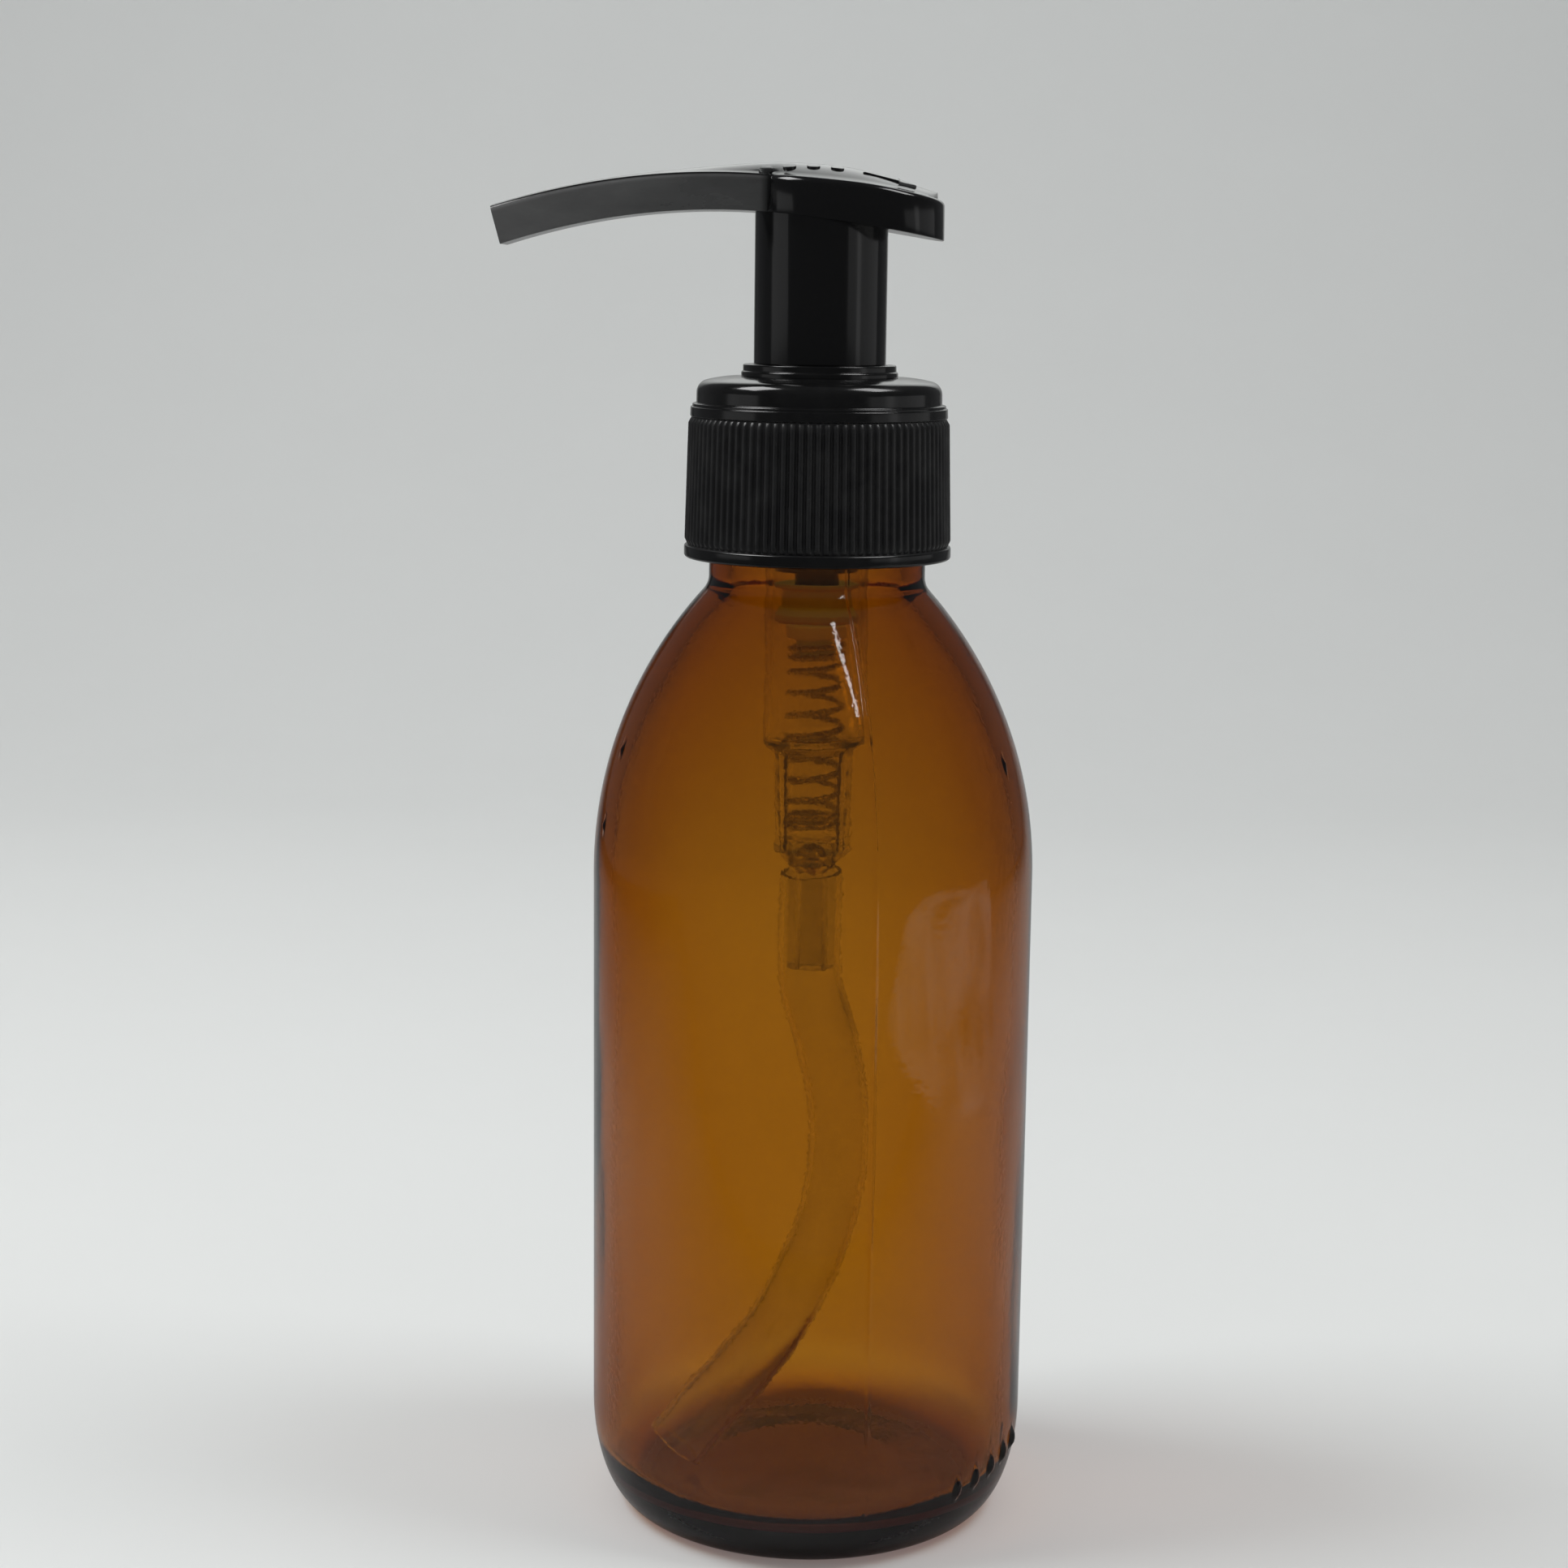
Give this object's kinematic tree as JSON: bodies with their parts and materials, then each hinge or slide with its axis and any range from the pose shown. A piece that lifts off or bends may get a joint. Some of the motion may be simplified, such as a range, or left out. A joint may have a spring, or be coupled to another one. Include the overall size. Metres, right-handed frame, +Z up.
{
  "type": "soap pump dispenser",
  "caption": "Round amber glass bottle with a ribbed screw closure and a spring-return lotion pump that delivers through a curved spout.",
  "frame": {"origin": "centre of the bottle's base, on the surface it stands on", "axes": "+Z up along the bottle's axis; the spout points along -X"},
  "size_m": [0.0635, 0.052, 0.1597],
  "materials": {
    "amber_glass": "clear moulded glass",
    "black_plastic": "glossy moulded polypropylene",
    "natural_plastic": "translucent natural polypropylene and polyethylene",
    "foam": "closed-cell polyethylene foam",
    "steel": "bright stainless wire and ball"
  },
  "bodies": {
    "bottle": {"bottle": "amber_glass"},
    "pump": {"pump_housing": "natural_plastic", "locking_collar": "black_plastic", "gasket": "foam", "dip_tube": "natural_plastic", "return_spring": "steel"},
    "closure": {"closure": "black_plastic"},
    "plunger": {"stem": "black_plastic", "piston_seat": "natural_plastic"},
    "piston": {"piston": "natural_plastic"},
    "head": {"actuator": "black_plastic"},
    "inlet_ball": {"inlet_ball": "steel"}
  },
  "joints": [
    {"name": "pump_lift", "type": "slide", "parent": "bottle", "child": "pump", "axis": [0, 0, 1], "range_m": [0, 0.0064]},
    {"name": "closure_turn", "type": "hinge", "parent": "pump", "child": "closure", "pos_m": [0, 0, 0.1248], "axis": [0, 0, 1], "range_deg": [0, 540]},
    {"name": "press", "type": "slide", "parent": "pump", "child": "plunger", "axis": [0, 0, -1], "range_m": [0, 0.0125], "stiffness_N_per_m": 700, "springref_m": -0.01, "deforming": ["return_spring"]},
    {"name": "piston_slip", "type": "slide", "parent": "plunger", "child": "piston", "axis": [0, 0, 1], "range_m": [0, 0.001]},
    {"name": "head_turn", "type": "hinge", "parent": "plunger", "child": "head", "pos_m": [0, 0, 0.1526], "axis": [0, 0, 1], "range_deg": [-90, 0]},
    {"name": "ball_lift", "type": "slide", "parent": "pump", "child": "inlet_ball", "axis": [0, 0, 1], "range_m": [0, 0.0011]}
  ],
  "couplings": [
    {"joint": "pump_lift", "follows": "closure_turn", "m_per_rad": 0.00067376}
  ]
}
